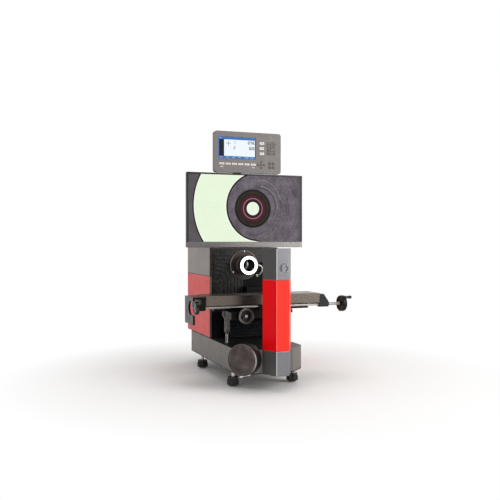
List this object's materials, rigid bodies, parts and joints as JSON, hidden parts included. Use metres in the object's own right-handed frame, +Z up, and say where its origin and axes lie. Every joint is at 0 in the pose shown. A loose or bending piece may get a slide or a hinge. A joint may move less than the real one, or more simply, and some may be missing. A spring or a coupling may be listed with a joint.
{
  "type": "profile projector",
  "caption": "Horizontal profile projector: lamp column, camera housing with ring light, crank-driven table, levelling feet, tilting monitor and digital readout.",
  "frame": {"origin": "on the floor, in the middle of the overall width and depth", "axes": "+X to the right along the table, +Y from the lamp column to the rear housing, +Z up"},
  "size_m": [0.714, 0.809, 1.0695],
  "materials": {
    "grey_paint": "satin paint",
    "red_paint": "satin paint",
    "dark_paint": "satin paint",
    "lid_paint": "satin paint",
    "column_paint": "satin paint",
    "black_plastic": "fine grain",
    "black_gloss": "gloss",
    "black_metal": "black anodised",
    "steel": "ground",
    "bright": "polished",
    "iron_paint": "painted",
    "table_steel": "ground and blued",
    "wheel_metal": "satin",
    "disc_plastic": "fine grain",
    "white_ring": "white",
    "lead_white": "smooth",
    "lens": "coated",
    "bellows_black": "folded",
    "camera_metal": "anodised",
    "rubber_foot": "moulded",
    "monitor_dark": "fine grain",
    "display": "lit display",
    "readout_shell": "fine grain",
    "readout_display": "lit display",
    "key_light": "moulded",
    "key_dark": "moulded"
  },
  "bodies": {
    "frame": {"base_casting": "grey_paint", "housing_frame": "dark_paint", "side_panels_upper": "grey_paint", "side_panels_lower": "red_paint", "top_plate": "lid_paint", "rear_panel": "grey_paint", "power_inlet": "black_plastic", "ribbed_cover": "black_plastic", "vertical_rails": "steel", "lens_flange": "black_metal", "flange_screws": "bright", "lens_barrel": "black_metal", "lens_glass": "lens", "lens_tube": "black_metal", "camera": "camera_metal", "ring_light_body": "black_metal", "ring_light_diffuser": "white_ring", "ring_light_lead": "lead_white", "lead_gland": "lead_white", "bellows": "bellows_black", "column_spine": "iron_paint", "column_covers": "column_paint", "column_band": "red_paint", "lamp_plug": "column_paint", "lamp_barrel": "black_metal", "lamp_lens": "lens", "disc_bearing": "steel", "monitor_post": "dark_paint"},
    "carriage": {"vertical_carriage": "iron_paint", "elevating_nut": "iron_paint"},
    "elevating_screw": {"elevating_screw": "steel"},
    "lift_wheel": {"disc_handwheel": "disc_plastic", "disc_shaft": "steel"},
    "lift_lever": {"lift_lock_lever": "bright"},
    "focus_wheel": {"focus_wheel": "wheel_metal"},
    "focus_handle": {"focus_handle": "bright"},
    "cross_slide": {"cross_slide": "iron_paint"},
    "guide_knob": {"lock_knob": "black_plastic"},
    "table": {"table": "table_steel", "end_bracket_left": "iron_paint", "end_bracket_right": "iron_paint"},
    "table_screw": {"lead_screw": "steel", "left_handwheel": "black_plastic", "right_handwheel": "black_plastic"},
    "crank_handle": {"crank_handle": "black_plastic"},
    "monitor": {"monitor_frame": "monitor_dark", "monitor_glass": "display", "monitor_shell": "monitor_dark", "monitor_bracket": "dark_paint"},
    "readout": {"readout_case": "readout_shell", "readout_screen": "readout_display"},
    "soft_keys": {"keys_soft": "key_light"},
    "axis_keys": {"keys_axis": "key_light"},
    "number_keys": {"keys_number": "key_dark"},
    "command_keys": {"keys_command": "key_dark"},
    "power_rocker": {"power_switch": "black_gloss"},
    "foot_front_left": {"foot_front_left": "rubber_foot"},
    "foot_front_right": {"foot_front_right": "rubber_foot"},
    "foot_rear_left": {"foot_rear_left": "rubber_foot"},
    "foot_rear_right": {"foot_rear_right": "rubber_foot"}
  },
  "joints": [
    {"name": "lift", "type": "slide", "parent": "frame", "child": "carriage", "axis": [0, 0, 1], "range_m": [-0.035, 0.04], "deforming": ["bellows"]},
    {"name": "elevating_screw_turn", "type": "hinge", "parent": "frame", "child": "elevating_screw", "pos_m": [-0.187, -0.117, 0.2], "axis": [0, 0, 1], "range_deg": [-520, 590]},
    {"name": "lift_wheel_turn", "type": "hinge", "parent": "frame", "child": "lift_wheel", "pos_m": [-0.1705, -0.3215, 0.126], "axis": [-0.7071, -0.7071, 0], "range_deg": [-520, 590]},
    {"name": "lift_lock", "type": "hinge", "parent": "frame", "child": "lift_lever", "pos_m": [-0.16626, -0.31726, 0.06], "axis": [0, 0, 1], "range_deg": [-25, 25]},
    {"name": "focus", "type": "slide", "parent": "carriage", "child": "cross_slide", "axis": [0, 1, 0], "range_m": [-0.015, 0.015]},
    {"name": "focus_wheel_turn", "type": "hinge", "parent": "carriage", "child": "focus_wheel", "pos_m": [-0.149, -0.23, 0.28], "axis": [0, 1, 0], "range_deg": [-550, 550]},
    {"name": "focus_handle_spin", "type": "hinge", "parent": "focus_wheel", "child": "focus_handle", "pos_m": [-0.163, -0.255, 0.273], "axis": [0, 1, 0], "continuous": true},
    {"name": "guide_lock", "type": "hinge", "parent": "cross_slide", "child": "guide_knob", "pos_m": [0.083, -0.161, 0.29], "axis": [0, 0, 1], "range_deg": [-90, 90]},
    {"name": "table_travel", "type": "slide", "parent": "cross_slide", "child": "table", "axis": [1, 0, 0], "range_m": [-0.1, 0.06]},
    {"name": "table_screw_turn", "type": "hinge", "parent": "table", "child": "table_screw", "pos_m": [-0.053, -0.186, 0.313], "axis": [1, 0, 0], "range_deg": [-1810, 1090]},
    {"name": "crank_handle_spin", "type": "hinge", "parent": "table_screw", "child": "crank_handle", "pos_m": [0.337, -0.186, 0.338], "axis": [1, 0, 0], "continuous": true},
    {"name": "monitor_tilt", "type": "hinge", "parent": "frame", "child": "monitor", "pos_m": [-0.053, 0.148, 0.72], "axis": [1, 0, 0], "range_deg": [-12, 0]},
    {"name": "readout_tilt", "type": "hinge", "parent": "monitor", "child": "readout", "pos_m": [-0.053, 0.124, 0.975], "axis": [1, 0, 0], "range_deg": [-15, 2]},
    {"name": "power_rocker", "type": "hinge", "parent": "frame", "child": "power_rocker", "pos_m": [0.052, 0.397, 0.199], "axis": [1, 0, 0], "range_deg": [0, 8]},
    {"name": "soft_keys_press", "type": "slide", "parent": "readout", "child": "soft_keys", "axis": [0, 1, 0], "range_m": [0, 0.001], "stiffness_N_per_m": 600},
    {"name": "axis_keys_press", "type": "slide", "parent": "readout", "child": "axis_keys", "axis": [0, 1, 0], "range_m": [0, 0.001], "stiffness_N_per_m": 600},
    {"name": "number_keys_press", "type": "slide", "parent": "readout", "child": "number_keys", "axis": [0, 1, 0], "range_m": [0, 0.001], "stiffness_N_per_m": 600},
    {"name": "command_keys_press", "type": "slide", "parent": "readout", "child": "command_keys", "axis": [0, 1, 0], "range_m": [0, 0.001], "stiffness_N_per_m": 600},
    {"name": "foot_front_left_height", "type": "slide", "parent": "frame", "child": "foot_front_left", "axis": [0, 0, -1], "range_m": [0, 0.012]},
    {"name": "foot_front_right_height", "type": "slide", "parent": "frame", "child": "foot_front_right", "axis": [0, 0, -1], "range_m": [0, 0.012]},
    {"name": "foot_rear_left_height", "type": "slide", "parent": "frame", "child": "foot_rear_left", "axis": [0, 0, -1], "range_m": [0, 0.012]},
    {"name": "foot_rear_right_height", "type": "slide", "parent": "frame", "child": "foot_rear_right", "axis": [0, 0, -1], "range_m": [0, 0.012]}
  ],
  "couplings": [
    {"joint": "elevating_screw_turn", "follows": "lift", "rad_per_m": 251.33},
    {"joint": "lift_wheel_turn", "follows": "lift", "rad_per_m": 251.33},
    {"joint": "focus_wheel_turn", "follows": "focus", "rad_per_m": 628.32},
    {"joint": "table_screw_turn", "follows": "table_travel", "rad_per_m": 314.16}
  ]
}
